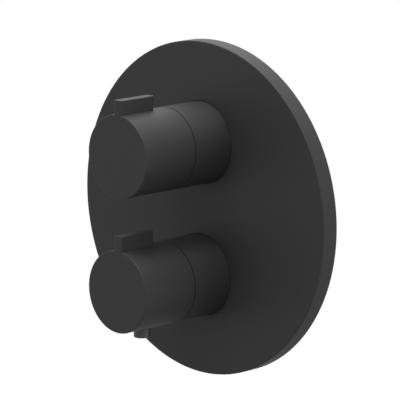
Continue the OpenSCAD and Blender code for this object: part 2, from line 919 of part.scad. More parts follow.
// It climbs the spindle's screw as the spindle turns, and carries what follows
module regulating_nut() {
  color(turned_brass) on_temperature_axis() difference() {
    union() {
      disc(nut_r, -nut_tail, nut_front);
      translate([-nut_r - key_rise, -key_w / 2, -nut_tail])
        cube([2 * (nut_r + key_rise), key_w, key_len]);
    }
    turned([[nut_cavity_r, -nut_tail - cut], [screw_r + fit_gap, nut_roof]], nut_front + cut);
    disc(nut_cavity_r + circlip_grip, nut_clip_back - seat_gap, nut_clip_front + seat_gap);
  }
}

module regulating_nut_circlip() {
  r_out = nut_cavity_r + circlip_grip - seat_gap;
  color(steel) on_temperature_axis() difference() {
    tube(r_out, r_out - nut_clip_w, nut_clip_back, nut_clip_front);
    translate([-circlip_mouth / 2, 0, nut_clip_back - cut])
      cube([circlip_mouth, r_out + cut, circlip_t + 2 * cut]);
  }
}

module overload_cup() {
  color(turned_brass) on_temperature_axis() difference() {
    turned([
      [nut_cavity_r - fit_gap, cup_back], [cup_boss_r, cup_back + cup_flange_t]
    ], cup_back + cup_flange_t + cup_boss_t);
    disc(element_pin_r + fit_gap, cup_back - cut, cup_back + cup_socket_depth);
  }
}

module overload_spring() {
  color(steel) on_temperature_axis()
    helical_spring(overload_spring_r, overload_spring_wire, overload_spring_turns,
      cup_back + cup_flange_t, nut_roof);
}

module wax_element() {
  color(copper) on_temperature_axis() turned([
    [element_r, -element_tail], [element_flange_r, -element_shoulder],
    [element_neck_r, element_flange_t - element_shoulder],
    [element_pin_r, element_flange_t + element_neck_len - element_shoulder]
  ], cup_back + cup_socket_depth - seat_gap);
}

module mixing_shuttle() {
  hub_r_in = element_r + seat_gap;
  hub_r_out = hub_r_in + shuttle_hub_wall;
  arm_back = shuttle_hub_inset - shuttle_back;
  color(grey_plastic) on_temperature_axis() {
    tube(shuttle_r, shuttle_r - shuttle_wall, -shuttle_back, -shuttle_front);
    difference() {
      union() {
        disc(hub_r_out, arm_back, -element_shoulder);
        for (i = [0:shuttle_arms - 1]) rotate([0, 0, 360 * i / shuttle_arms])
          translate([0, -shuttle_arm_w / 2, arm_back])
            cube([shuttle_r - shuttle_wall / 2, shuttle_arm_w, shuttle_arm_t]);
      }
      disc(hub_r_in, arm_back - cut, cut - element_shoulder);
    }
  }
}

module return_spring() {
  color(steel) on_temperature_axis()
    helical_spring(return_spring_r, return_spring_wire, return_spring_turns,
      thermo_exit_t - thermo_tail, -shuttle_back);
}

module cartridge_seals() {
  color(rubber) {
    on_flow_axis() o_ring(cartridge_r - seal_groove_depth, seat_r, -diverter_seal_depth);
    on_temperature_axis() {
      o_ring(cartridge_r - seal_groove_depth, seat_r, -upper_seal_depth);
      for (depth = [port_depth, lower_seal_depth])
        o_ring(thermo_r - seal_groove_depth, lower_bore_r, -depth);
      o_ring(gland_r - seal_groove_depth, gland_bore_r, gland_seal_s);
    }
  }
}

module spindle_seals() {
  color(rubber) {
    on_flow_axis() o_ring(stem_r - seal_groove_depth, stem_r + fit_gap, diverter_stem_seal_s);
    on_temperature_axis() o_ring(stem_r - seal_groove_depth, stem_r + fit_gap, thermo_stem_seal_s);
  }
}

// Its lug meets the button's pawl where the handle stands at 38 degrees
module temperature_stop_ring() {
  color(white_plastic) on_temperature_axis() difference() {
    union() {
      disc(stop_ring_r, stop_ring_back, stop_ring_front);
      rotate([0, 0, stop_lug_start]) rotate_extrude(angle = stop_lug_angle)
        translate([stop_ring_r - stop_lug_inset - stop_lug_depth, stop_ring_front - stop_ring_t / 2])
          square([stop_lug_depth, stop_lug_t + stop_ring_t / 2]);
    }
    splined_bore(thermo_neck_r, stop_tooth_depth, stop_tooth_w, stop_teeth,
      stop_ring_back - cut, stop_ring_front + cut);
  }
}

// Handles

module adapter() {
  color(turned_brass) difference() {
    disc(adapter_r, adapter_back, adapter_front);
    splined_bore(spindle_r, spline_depth, spline_w, spline_count,
      adapter_back - cut, spindle_tip + adapter_end_gap);
  }
}

module knob_shell() {
  rotate_extrude() polygon(concat(
    [[0, knob_floor], [0, knob_front]],
    arc(knob_r - knob_edge, knob_front - knob_edge, knob_edge, 90, 0),
    [
      [knob_r, knob_back + sleeve_chamfer], [knob_r - sleeve_chamfer, knob_back],
      [knob_bore_r, knob_back], [knob_bore_r, knob_floor]
    ]
  ));
}

// The children are joined to the knob before its holes are cut
module knob(grub_angle) {
  seat_w = tab_w + 2 * tab_seat_margin;
  difference() {
    union() {
      knob_shell();
      disc(hub_r, hub_back, knob_floor + knob_face_t / 2);
      translate([-seat_w / 2, tab_screw_head_out, tab_back - tab_seat_margin])
        cube([seat_w, knob_bore_r + knob_wall / 2 - tab_screw_head_out,
          knob_floor + knob_face_t / 2 - tab_back + tab_seat_margin]);
      children();
    }
    disc(adapter_r + fit_gap, hub_back - cut, adapter_front + fit_gap);
    translate([-tab_w / 2 - seat_gap, tab_seat_r, tab_back - seat_gap])
      cube([tab_w + 2 * seat_gap, tab_rise + tab_seat_depth, tab_len + cut]);
    radially(90, tab_screw_s) disc(tab_screw_d / 2 + fit_gap, tab_screw_head_out - cut, tab_seat_r + cut);
    radially(grub_angle, grub_s) {
      disc(grub_d / 2 + seat_gap, adapter_r, hub_r + cut);
      disc(grub_access_r, knob_bore_r - cut, knob_r + cut);
    }
  }
}

module grub_screw(angle) {
  color(steel) radially(angle, grub_s) difference() {
    disc(grub_d / 2, adapter_r + seat_gap, adapter_r + seat_gap + grub_len);
    translate([0, 0, adapter_r + seat_gap + grub_len - grub_socket_depth])
      cylinder(r = grub_socket_r, h = grub_socket_depth + cut, $fn = 6);
  }
}

// The points of a rectangle with rounded corners, between two places along Y
function rounded_plan(half, from, to, r) = concat(
  arc(half - r, to - r, r, 0, 90), arc(r - half, to - r, r, 90, 180),
  arc(r - half, from + r, r, 180, 270), arc(half - r, from + r, r, 270, 360)
);

// Its foot fills the seat, and its upright corners are rounded from the knob's surface up
module grip_tab() {
  half = tab_w / 2;
  foot_top = sqrt(pow(knob_r, 2) - pow(half, 2));
  color(matt_black) difference() {
    intersection() {
      translate([0, 0, tab_back]) linear_extrude(tab_len) polygon(concat(
        [[-half, tab_seat_r + seat_gap], [half, tab_seat_r + seat_gap]],
        arc(half - tab_edge, tab_top - tab_edge, tab_edge, 0, 90),
        arc(tab_edge - half, tab_top - tab_edge, tab_edge, 90, 180)
      ));
      union() {
        translate([-tab_w, 0, tab_back - cut]) cube([2 * tab_w, foot_top, tab_len + 2 * cut]);
        translate([0, tab_top + cut, 0]) rotate([90, 0, 0]) linear_extrude(tab_top)
          polygon(rounded_plan(half, tab_back, knob_front, tab_corner));
      }
    }
    radially(90, tab_screw_s)
      disc(tab_screw_d / 2 + seat_gap, tab_seat_r - cut, tab_screw_head_out + tab_screw_len + seat_gap);
  }
}

module tab_screw() {
  color(steel) radially(90, tab_screw_s) difference() {
    turned([
      [tab_screw_head_r, tab_screw_head_out - tab_screw_head_t], [tab_screw_d / 2, tab_screw_head_out]
    ], tab_screw_head_out + tab_screw_len);
    translate([0, 0, tab_screw_head_out - tab_screw_head_t - cut])
      cylinder(r = grub_socket_r, h = tab_screw_head_t, $fn = 6);
  }
}

module flow_adapter() on_flow_axis() adapter();

module temperature_adapter() on_temperature_axis() adapter();

module flow_handle() color(matt_black) on_flow_axis() knob(flow_grub_angle);

module temperature_handle() {
  color(matt_black) on_temperature_axis() difference() {
    knob(temperature_grub_angle)
      translate([-pad_half, -pad_out, button_s - pad_half]) cube([2 * pad_half, pad_out, 2 * pad_half]);
    radially(-90, button_s) disc(button_r + fit_gap, knob_bore_r - knob_wall, knob_r + cut);
  }
}

module flow_grip_tab() on_flow_axis() grip_tab();

module temperature_grip_tab() on_temperature_axis() grip_tab();

module flow_tab_screw() on_flow_axis() tab_screw();

module temperature_tab_screw() on_temperature_axis() tab_screw();

module flow_grub_screw() on_flow_axis() grub_screw(flow_grub_angle);

module temperature_grub_screw() on_temperature_axis() grub_screw(temperature_grub_angle);

// Safety button under the temperature handle

module on_button() on_temperature_axis() radially(-90, button_s) children();

module safety_button() {
  color(matt_black) on_button() rotate_extrude() polygon(concat(
    [
      [0, button_flange_in], [button_flange_r, button_flange_in],
      [button_flange_r, button_flange_out], [button_r, button_flange_out]
    ],
    arc(button_r - button_edge, button_out - button_edge, button_edge, 0, 90),
    [[0, button_out]]
  ));
}

module button_pawl() {
  color(steel) {
    on_button() disc(button_flange_r, pawl_in, button_flange_in);
    on_temperature_axis() translate([-pawl_w / 2, -button_flange_in, pawl_tip])
      cube([pawl_w, pawl_t, button_s - pawl_tip]);
  }
}

module button_guide() {
  slot_in = pawl_in - button_travel - free_gap;
  color(grey_plastic) difference() {
    on_button() difference() {
      disc(guide_r, pad_out, guide_out);
      disc(guide_bore_r, pad_out + guide_wall, guide_out + cut);
    }
    on_temperature_axis() translate([-pawl_w / 2 - free_gap, -guide_out - cut, button_s - guide_r - cut])
      cube([pawl_w + 2 * free_gap, guide_out + cut - slot_in, guide_r + cut]);
  }
}

module button_spring() {
  color(steel) on_button()
    helical_spring(button_spring_r, button_spring_wire, button_spring_turns, pad_out + guide_wall, pawl_in);
}

faceplate();
faceplate_gasket();
faceplate_grip_rings();
flow_sleeve();
temperature_sleeve();
flow_sleeve_carrier();
temperature_sleeve_carrier();
valve_body();
hot_inlet_union();
cold_inlet_union();
handset_outlet_union();
overhead_outlet_union();
union_seals();
hot_filter();
cold_filter();
hot_check_housing();
cold_check_housing();
hot_check_poppet();
cold_check_poppet();
hot_check_spring();
cold_check_spring();
diverter_housing();
diverter_nut();
diverter_base_seal();
diverter_fixed_disc();
diverter_turning_disc();
diverter_spindle();
diverter_circlip();
thermostat_housing();
thermostat_nut();
thermostat_gland();
thermostat_spindle();
regulating_nut();
regulating_nut_circlip();
overload_cup();
overload_spring();
wax_element();
mixing_shuttle();
return_spring();
cartridge_seals();
spindle_seals();
temperature_stop_ring();
flow_adapter();
temperature_adapter();
flow_handle();
temperature_handle();
flow_grip_tab();
temperature_grip_tab();
flow_tab_screw();
temperature_tab_screw();
flow_grub_screw();
temperature_grub_screw();
safety_button();
button_pawl();
button_guide();
button_spring();
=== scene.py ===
# Looks of a concealed thermostatic shower valve: matt black trim in front of the wall, cast and
# turned brass behind it. Lengths are in metres, and a name that ends in Mm is in millimetres.
import json
import math

import bmesh
import bpy
import numpy as np
from mathutils import Matrix, Vector


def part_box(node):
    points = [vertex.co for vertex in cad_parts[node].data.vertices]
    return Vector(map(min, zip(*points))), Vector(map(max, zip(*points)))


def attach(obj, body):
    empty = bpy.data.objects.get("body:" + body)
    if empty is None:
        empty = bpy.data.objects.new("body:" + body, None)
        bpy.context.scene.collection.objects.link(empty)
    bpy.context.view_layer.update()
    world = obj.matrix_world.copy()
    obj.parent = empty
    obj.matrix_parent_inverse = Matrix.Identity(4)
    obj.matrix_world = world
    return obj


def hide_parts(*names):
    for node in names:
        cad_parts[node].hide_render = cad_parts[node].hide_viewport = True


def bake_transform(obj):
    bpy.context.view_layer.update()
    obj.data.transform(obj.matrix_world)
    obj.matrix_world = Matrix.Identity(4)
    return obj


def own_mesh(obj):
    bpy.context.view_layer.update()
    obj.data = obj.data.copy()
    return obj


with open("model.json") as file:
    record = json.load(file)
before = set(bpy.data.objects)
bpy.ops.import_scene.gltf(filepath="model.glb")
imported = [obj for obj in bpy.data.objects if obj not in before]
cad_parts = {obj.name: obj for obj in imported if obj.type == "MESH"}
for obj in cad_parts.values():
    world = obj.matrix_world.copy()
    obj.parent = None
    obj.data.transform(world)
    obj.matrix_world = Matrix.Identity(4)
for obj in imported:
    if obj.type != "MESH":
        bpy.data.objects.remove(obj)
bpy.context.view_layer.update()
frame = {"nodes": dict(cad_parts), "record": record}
nodes = frame["nodes"]
mounts = {m["name"]: m for m in frame["record"]["mounts"]}
joints = {j["name"]: j for j in frame["record"]["behaviour"]["joints"]}
mm = 0.001
scene = bpy.context.scene
print("frame loaded:", len(nodes), "nodes")


# Camera

camera = {
    "azimuth": 45.10,       # degrees, 0 looks along +Y
    "elevation": 11.73,
    "roll": 0.36,
    "distance": 1.9373,
    "focalPx": 3255.0,      # focal length in pixels of the square picture
    "centrePx": (214.27, 205.89),
    "picturePx": 400,
    "sensorMm": 36.0,
    "clip": (0.1, 20.0),    # nearest and farthest that it sees
}


def cameraAxes(azimuth, elevation, roll):
    # right, up and back of a camera that looks at the origin, turned by the roll about its own view
    a, e, r = (math.radians(v) for v in (azimuth, elevation, roll))
    back = Vector((math.sin(a) * math.cos(e), -math.cos(a) * math.cos(e), math.sin(e)))
    right = (-back).cross(Vector((0, 0, 1))).normalized()
    up = right.cross(-back)
    return (math.cos(r) * right + math.sin(r) * up, math.cos(r) * up - math.sin(r) * right, back)


def makeCamera(values):
    data = bpy.data.cameras.new("camera")
    half = values["picturePx"] / 2
    data.sensor_width = values["sensorMm"]
    data.lens = values["focalPx"] * values["sensorMm"] / values["picturePx"]
    data.shift_x = (half - values["centrePx"][0]) / values["picturePx"]
    data.shift_y = (values["centrePx"][1] - half) / values["picturePx"]
    data.clip_start, data.clip_end = values["clip"]
    right, up, back = cameraAxes(values["azimuth"], values["elevation"], values["roll"])
    turned = Matrix((right, up, back)).transposed().to_4x4()
    piece = bpy.data.objects.new("camera", data)
    piece.matrix_world = Matrix.Translation(back * values["distance"]) @ turned
    scene.collection.objects.link(piece)
    scene.camera = piece
    return piece


makeCamera(camera)
print("camera set")


# Shared helpers

def linearFrom(hexColour):
    # sRGB hex such as "#2c2c2d" to linear red, green, blue and alpha
    parts = np.array([int(hexColour[i:i + 2], 16) / 255 for i in (1, 3, 5)])
    low, high = parts / 12.92, ((parts + 0.055) / 1.055) ** 2.4
    return tuple(float(v) for v in np.where(parts <= 0.04045, low, high)) + (1.0,)


def addNode(tree, kind, settings=None, inputs=None):
    # one node: settings are its own properties, an input is a value, or a socket to link from
    node = tree.nodes.new(kind)
    for name, value in (settings or {}).items():
        setattr(node, name, value)
    for name, value in (inputs or {}).items():
        if isinstance(value, bpy.types.NodeSocket):
            tree.links.new(value, node.inputs[name])
        else:
            node.inputs[name].default_value = value
    return node


def newMaterial(name, **shaderValues):
    # an empty material with its shader and its Object coordinates in millimetres
    material = bpy.data.materials.new(name)
    material.use_nodes = True
    tree = material.node_tree
    tree.nodes.clear()
    shader = addNode(tree, "ShaderNodeBsdfPrincipled", inputs=shaderValues)
    addNode(tree, "ShaderNodeOutputMaterial", inputs={"Surface": shader.outputs["BSDF"]})
    place = addNode(tree, "ShaderNodeTexCoord")
    inMm = addNode(tree, "ShaderNodeMapping", inputs={
        "Vector": place.outputs["Object"], "Scale": (1 / mm, 1 / mm, 1 / mm)})
    return material, tree, shader, inMm.outputs["Vector"]


def span(pair):
    # the two inputs that a Map Range node runs between
    return {"To Min": pair[0], "To Max": pair[1]}


def feed(tree, shader, **sockets):
    # links sockets to the shader's inputs of the same names
    for name, socket in sockets.items():
        tree.links.new(socket, shader.inputs[name.replace("_", " ")])


def gridMesh(name, points, wrapRows=False, wrapColumns=False, capEnds=False, sharpDegrees=30):
    # a surface from a grid of points: each cell is one face, a wrapped side closes on itself, and a
    # tube's two ends may take one flat face each
    rows, columns = points.shape[:2]
    r = np.arange(rows if wrapRows else rows - 1)
    c = np.arange(columns if wrapColumns else columns - 1)
    row, column = (v.ravel() for v in np.meshgrid(r, c, indexing="ij"))
    below, beside = (row + 1) % rows, (column + 1) % columns
    faces = list(np.stack([row * columns + column, below * columns + column,
                           below * columns + beside, row * columns + beside], axis=-1))
    if capEnds:
        faces += [np.arange(columns), (np.arange(columns) + (rows - 1) * columns)[::-1]]
    if wrapColumns and (wrapRows or capEnds):
        # a closed shell is inside out if its volume, the sum of a . (b x c) / 6 over its triangles, is
        # negative
        flat = points.reshape(-1, 3)
        fans = np.array([(f[0], f[i], f[i + 1]) for f in faces for i in range(1, len(f) - 1)])
        if np.einsum("ij,ij->", flat[fans[:, 0]], np.cross(flat[fans[:, 1]], flat[fans[:, 2]])) < 0:
            faces = [f[::-1] for f in faces]
    loops = np.concatenate(faces).astype(np.int32)
    starts = np.cumsum([0] + [len(f) for f in faces[:-1]]).astype(np.int32)
    mesh = bpy.data.meshes.new(name)
    mesh.vertices.add(rows * columns)
    mesh.vertices.foreach_set("co", points.reshape(-1).astype(np.float32))
    mesh.loops.add(len(loops))
    mesh.loops.foreach_set("vertex_index", loops)
    mesh.polygons.add(len(faces))
    mesh.polygons.foreach_set("loop_start", starts)
    mesh.update(calc_edges=True)
    mesh.shade_smooth()
    mesh.set_sharp_from_angle(angle=math.radians(sharpDegrees))
    piece = bpy.data.objects.new(name, mesh)
    scene.collection.objects.link(piece)
    return piece


# Black trim

powderCoat = {
    "hex": "#272728",
    "paleHex": "#29292a",
    "roughness": (0.55, 0.61),
    "specularLevel": 0.25,  # the matting agent in the coat takes half of a bare lacquer's gloss
    "ior": 1.5,
    "grainMm": 0.22,        # fine tooth of a matt coat, drawn as coarse as it needs to show
    "grainDepthMm": 0.006,
    "peelMm": 2.6,          # slow orange peel under the tooth
    "peelDepthMm": 0.010,
    "mottleMm": 9.0,
}


def powderCoated(name, values):
    # polyester powder baked on metal: a matt skin with fine tooth and a faint orange peel
    material, tree, shader, where = newMaterial(name, **{
        "IOR": values["ior"], "Specular IOR Level": values["specularLevel"]})
    mottle = addNode(tree, "ShaderNodeTexNoise", inputs={
        "Vector": where, "Scale": 1 / values["mottleMm"], "Detail": 3.0})
    grain = addNode(tree, "ShaderNodeTexNoise", inputs={
        "Vector": where, "Scale": 1 / values["grainMm"], "Detail": 2.0})
    peel = addNode(tree, "ShaderNodeTexNoise", inputs={
        "Vector": where, "Scale": 1 / values["peelMm"], "Detail": 1.0})
    colour = addNode(tree, "ShaderNodeMix", {"data_type": "RGBA"}, {
        0: mottle.outputs["Fac"], 6: linearFrom(values["hex"]), 7: linearFrom(values["paleHex"])})
    rough = addNode(tree, "ShaderNodeMapRange", inputs={
        "Value": grain.outputs["Fac"], **span(values["roughness"])})
    wavy = addNode(tree, "ShaderNodeBump", inputs={
        "Height": peel.outputs["Fac"], "Distance": values["peelDepthMm"] * mm, "Strength": 1.0})
    toothed = addNode(tree, "ShaderNodeBump", inputs={
        "Height": grain.outputs["Fac"], "Distance": values["grainDepthMm"] * mm, "Strength": 1.0,
        "Normal": wavy.outputs["Normal"]})
    feed(tree, shader, Base_Color=colour.outputs[2], Roughness=rough.outputs["Result"],
         Normal=toothed.outputs["Normal"])
    return material


# Plastics, the button's black one and those inside the valve

moulding = {
    "roughness": (0.46, 0.54),
    "sparkMm": 0.35,        # spark-eroded texture of the mould
    "sparkDepthMm": 0.008,
    "flowMm": 10.5,         # slow drift of the shade where the melt has flowed
    "flowShade": (0.93, 1.05),
}
plastics = {
    # colour and index of refraction
    "blackMouldedAbs": ("#29292a", 1.53),
    "whiteAcetal": ("#e4e1d8", 1.48),
    "greyPps": ("#6d7073", 1.6),
    "redAcetal": ("#b8403a", 1.48),
    "blueAcetal": ("#3a67a8", 1.48),
}


def mouldedPlastic(name, hexColour, ior, values):
    # injection-moulded plastic from a spark-eroded mould: even colour, satin, faintly pitted
    material, tree, shader, where = newMaterial(name, IOR=ior)
    spark = addNode(tree, "ShaderNodeTexNoise", inputs={
        "Vector": where, "Scale": 1 / values["sparkMm"], "Detail": 3.0, "Roughness": 0.6})
    flow = addNode(tree, "ShaderNodeTexNoise", inputs={
        "Vector": where, "Scale": 1 / values["flowMm"], "Detail": 2.0})
    drift = addNode(tree, "ShaderNodeMapRange", inputs={
        "Value": flow.outputs["Fac"], **span(values["flowShade"])})
    colour = addNode(tree, "ShaderNodeHueSaturation", inputs={
        "Value": drift.outputs["Result"], "Color": linearFrom(hexColour)})
    rough = addNode(tree, "ShaderNodeMapRange", inputs={
        "Value": spark.outputs["Fac"], **span(values["roughness"])})
    pitted = addNode(tree, "ShaderNodeBump", inputs={
        "Height": spark.outputs["Fac"], "Distance": values["sparkDepthMm"] * mm, "Strength": 1.0})
    feed(tree, shader, Base_Color=colour.outputs["Color"], Roughness=rough.outputs["Result"],
         Normal=pitted.outputs["Normal"])
    return material


# Metals behind the wall

castMetal = {
    "hex": "#a9854e",
    "darkHex": "#7d6238",
    "cutHex": "#c7a15c",
    "roughness": (0.42, 0.62),
    "cutRoughness": 0.28,
    "sandMm": 0.7,          # grains of the sand mould
    "sandDepthMm": 0.09,
    "stainMm": 16.0,
}


def sandCast(name, values):
    # gunmetal from a sand mould, tumbled: pebbled skin, uneven brown tarnish, brighter and smooth
    # where it has been cut to size, which the mesh marks as machined
    material, tree, shader, where = newMaterial(name, Metallic=1.0)
    sand = addNode(tree, "ShaderNodeTexNoise", inputs={
        "Vector": where, "Scale": 1 / values["sandMm"], "Detail": 3.0, "Roughness": 0.6})
    stain = addNode(tree, "ShaderNodeTexNoise", inputs={
        "Vector": where, "Scale": 1 / values["stainMm"], "Detail": 5.0, "Roughness": 0.6})
    cut = addNode(tree, "ShaderNodeAttribute", {"attribute_name": "machined"}).outputs["Fac"]
    uncut = addNode(tree, "ShaderNodeMath", {"operation": "SUBTRACT"}, {0: 1.0, 1: cut})
    skin = addNode(tree, "ShaderNodeMix", {"data_type": "RGBA"}, {
        0: stain.outputs["Fac"], 6: linearFrom(values["hex"]), 7: linearFrom(values["darkHex"])})
    colour = addNode(tree, "ShaderNodeMix", {"data_type": "RGBA"}, {
        0: cut, 6: skin.outputs[2], 7: linearFrom(values["cutHex"])})
    skinRough = addNode(tree, "ShaderNodeMapRange", inputs={
        "Value": sand.outputs["Fac"], **span(values["roughness"])})
    rough = addNode(tree, "ShaderNodeMix", {"data_type": "FLOAT"}, {
        0: cut, 2: skinRough.outputs["Result"], 3: values["cutRoughness"]})
    pebbles = addNode(tree, "ShaderNodeMath", {"operation": "MULTIPLY"}, {
        0: sand.outputs["Fac"], 1: uncut.outputs["Value"]})
    relief = addNode(tree, "ShaderNodeBump", inputs={
        "Height": pebbles.outputs["Value"], "Distance": values["sandDepthMm"] * mm, "Strength": 1.0})
    feed(tree, shader, Base_Color=colour.outputs[2], Roughness=rough.outputs[0],
         Normal=relief.outputs["Normal"])
    return material


turnedMetal = {
    "hex": "#c9a35a",
    "darkHex": "#b08a48",
    "roughness": (0.20, 0.34),
    "feedMm": 0.30,         # spacing of the lathe's tool marks, drawn coarse enough to show
    "feedDepthMm": 0.006,
    "stainMm": 7.0,
}


def turnedRings(tree, where, axis, centreMm, feedMm):
    # sine of 2 pi (place along the axis + distance from it) / feed, so that the marks run round on a
    # turned side and as rings on a turned face
    local = addNode(tree, "ShaderNodeVectorMath", {"operation": "SUBTRACT"}, {0: where, 1: centreMm})
    along = addNode(tree, "ShaderNodeVectorMath", {"operation": "DOT_PRODUCT"}, {
        0: local.outputs["Vector"], 1: axis})
    across = addNode(tree, "ShaderNodeVectorMath", {"operation": "CROSS_PRODUCT"}, {
        0: local.outputs["Vector"], 1: axis})
    radius = addNode(tree, "ShaderNodeVectorMath", {"operation": "LENGTH"}, {
        0: across.outputs["Vector"]})
    total = addNode(tree, "ShaderNodeMath", {"operation": "ADD"}, {
        0: along.outputs["Value"], 1: radius.outputs["Value"]})
    wave = addNode(tree, "ShaderNodeMath", {"operation": "MULTIPLY"}, {
        0: total.outputs["Value"], 1: 2 * math.pi / feedMm})
    rings = addNode(tree, "ShaderNodeMath", {"operation": "SINE"}, {0: wave.outputs["Value"]})
    return rings.outputs["Value"]


def turnedBrass(name, values, axis, centreMm):
    # free-cutting brass off the lathe: bright, with fine rings and a little tarnish
    material, tree, shader, where = newMaterial(name, Metallic=1.0)
    rings = turnedRings(tree, where, axis, centreMm, values["feedMm"])
    stain = addNode(tree, "ShaderNodeTexNoise", inputs={
        "Vector": where, "Scale": 1 / values["stainMm"], "Detail": 4.0})
    colour = addNode(tree, "ShaderNodeMix", {"data_type": "RGBA"}, {
        0: stain.outputs["Fac"], 6: linearFrom(values["hex"]), 7: linearFrom(values["darkHex"])})
    rough = addNode(tree, "ShaderNodeMapRange", inputs={
        "Value": stain.outputs["Fac"], **span(values["roughness"])})
    marks = addNode(tree, "ShaderNodeBump", inputs={
        "Height": rings, "Distance": values["feedDepthMm"] * mm, "Strength": 1.0})
    feed(tree, shader, Base_Color=colour.outputs[2], Roughness=rough.outputs["Result"],
         Normal=marks.outputs["Normal"])
    return material


drawnMetal = {
    "steelHex": "#b4b6b8",
    "copperHex": "#b5704c",
    "roughness": (0.22, 0.34),
    "lineMm": 0.25,
    "lineShade": (0.92, 1.05),
}


def drawnWire(name, hexColour, values):
    # wire or tube pulled through a die: satin, with short random scratches
    material, tree, shader, where = newMaterial(name, Metallic=1.0)
    line = addNode(tree, "ShaderNodeTexNoise", inputs={
        "Vector": where, "Scale": 1 / values["lineMm"], "Detail": 2.0})
    scratched = addNode(tree, "ShaderNodeMapRange", inputs={
        "Value": line.outputs["Fac"], **span(values["lineShade"])})
    colour = addNode(tree, "ShaderNodeHueSaturation", inputs={
        "Value": scratched.outputs["Result"], "Color": linearFrom(hexColour)})
    rough = addNode(tree, "ShaderNodeMapRange", inputs={
        "Value": line.outputs["Fac"], **span(values["roughness"])})
    feed(tree, shader, Base_Color=colour.outputs["Color"], Roughness=rough.outputs["Result"])
    return material


# Rubber and ceramic

nitrile = {
    "hex": "#1a1a1b",
    "bloomHex": "#222223",
    "roughness": (0.62, 0.78),
    "ior": 1.5,
    "bloomMm": 1.4,
    "bloomDepthMm": 0.01,
}
alumina = {
    "hex": "#ece6d8",
    "darkHex": "#e2dbca",
    "roughness": (0.16, 0.24),
    "ior": 1.76,
    "lapMm": 0.5,
}


def nitrileRubber(name, values):
    # compression-moulded rubber: dull black with a faint grey bloom
    material, tree, shader, where = newMaterial(name, IOR=values["ior"])
    bloom = addNode(tree, "ShaderNodeTexNoise", inputs={
        "Vector": where, "Scale": 1 / values["bloomMm"], "Detail": 3.0})
    colour = addNode(tree, "ShaderNodeMix", {"data_type": "RGBA"}, {
        0: bloom.outputs["Fac"], 6: linearFrom(values["hex"]), 7: linearFrom(values["bloomHex"])})
    rough = addNode(tree, "ShaderNodeMapRange", inputs={
        "Value": bloom.outputs["Fac"], **span(values["roughness"])})
    relief = addNode(tree, "ShaderNodeBump", inputs={
        "Height": bloom.outputs["Fac"], "Distance": values["bloomDepthMm"] * mm, "Strength": 1.0})
    feed(tree, shader, Base_Color=colour.outputs[2], Roughness=rough.outputs["Result"],
         Normal=relief.outputs["Normal"])
    return material


def lappedAlumina(name, values):
    # sintered alumina, lapped flat: ivory, nearly polished
    material, tree, shader, where = newMaterial(name, IOR=values["ior"])
    lap = addNode(tree, "ShaderNodeTexNoise", inputs={
        "Vector": where, "Scale": 1 / values["lapMm"], "Detail": 2.0})
    colour = addNode(tree, "ShaderNodeMix", {"data_type": "RGBA"}, {
        0: lap.outputs["Fac"], 6: linearFrom(values["hex"]), 7: linearFrom(values["darkHex"])})
    rough = addNode(tree, "ShaderNodeMapRange", inputs={
        "Value": lap.outputs["Fac"], **span(values["roughness"])})
    feed(tree, shader, Base_Color=colour.outputs[2], Roughness=rough.outputs["Result"])
    return material


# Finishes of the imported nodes

handleCentres = {
    "flow": tuple(np.array(joints["flow_handle_turn"]["pos_m"]) / mm),
    "temperature": tuple(np.array(joints["temperature_handle_turn"]["pos_m"]) / mm),
}
intoWall = (0.0, 1.0, 0.0)  # along both handles' axes
ports = ("hot_inlet", "cold_inlet", "handset_outlet", "overhead_outlet")    # mounts, each with a union

blackCoat = powderCoated("blackPowderCoat", powderCoat)
castBody = sandCast("sandCastGunmetal", castMetal)
flowBrass = turnedBrass("turnedBrassFlow", turnedMetal, intoWall, handleCentres["flow"])
temperatureBrass = turnedBrass("turnedBrassTemperature", turnedMetal, intoWall,
                               handleCentres["temperature"])
springSteel = drawnWire("drawnSpringSteel", drawnMetal["steelHex"], drawnMetal)
drawnCopper = drawnWire("drawnCopper", drawnMetal["copperHex"], drawnMetal)
sealRubber = nitrileRubber("nitrileRubber", nitrile)
ivoryCeramic = lappedAlumina("lappedAlumina", alumina)
plastic = {name: mouldedPlastic(name, hexColour, ior, moulding)
           for name, (hexColour, ior) in plastics.items()}


def portBrass(port):
    # turned about the port's own axis
    axis = tuple(float(v) for v in mounts[port]["axis"])
    centre = tuple(np.array(mounts[port]["pos_m"]) / mm)
    return turnedBrass("turnedBrass." + port, turnedMetal, axis, centre)


finishes = {
    blackCoat: ["faceplate", "flow_sleeve", "temperature_sleeve", "flow_handle", "temperature_handle",
                "flow_grip_tab", "temperature_grip_tab"],
    plastic["blackMouldedAbs"]: ["safety_button"],
    castBody: ["valve_body"],
    flowBrass: ["flow_sleeve_carrier", "diverter_nut", "diverter_spindle", "flow_adapter"],
    temperatureBrass: ["temperature_sleeve_carrier", "thermostat_nut", "thermostat_gland",
                       "thermostat_spindle", "regulating_nut", "overload_cup", "temperature_adapter"],
    springSteel: ["hot_check_spring", "cold_check_spring", "diverter_circlip", "regulating_nut_circlip",
                  "overload_spring", "return_spring", "flow_tab_screw", "temperature_tab_screw",
                  "flow_grub_screw", "temperature_grub_screw", "button_pawl", "button_spring"],
    drawnCopper: ["wax_element"],
    sealRubber: ["faceplate_gasket", "faceplate_grip_rings", "union_seals", "diverter_base_seal",
                 "cartridge_seals", "spindle_seals"],
    ivoryCeramic: ["diverter_fixed_disc", "diverter_turning_disc"],
    plastic["whiteAcetal"]: ["hot_check_housing", "cold_check_housing", "thermostat_housing",
                             "temperature_stop_ring"],
    plastic["greyPps"]: ["diverter_housing", "mixing_shuttle", "button_guide"],
    plastic["redAcetal"]: ["hot_filter", "hot_check_poppet"],
    plastic["blueAcetal"]: ["cold_filter", "cold_check_poppet"],
}
for port in ports:
    finishes[portBrass(port)] = [port + "_union"]


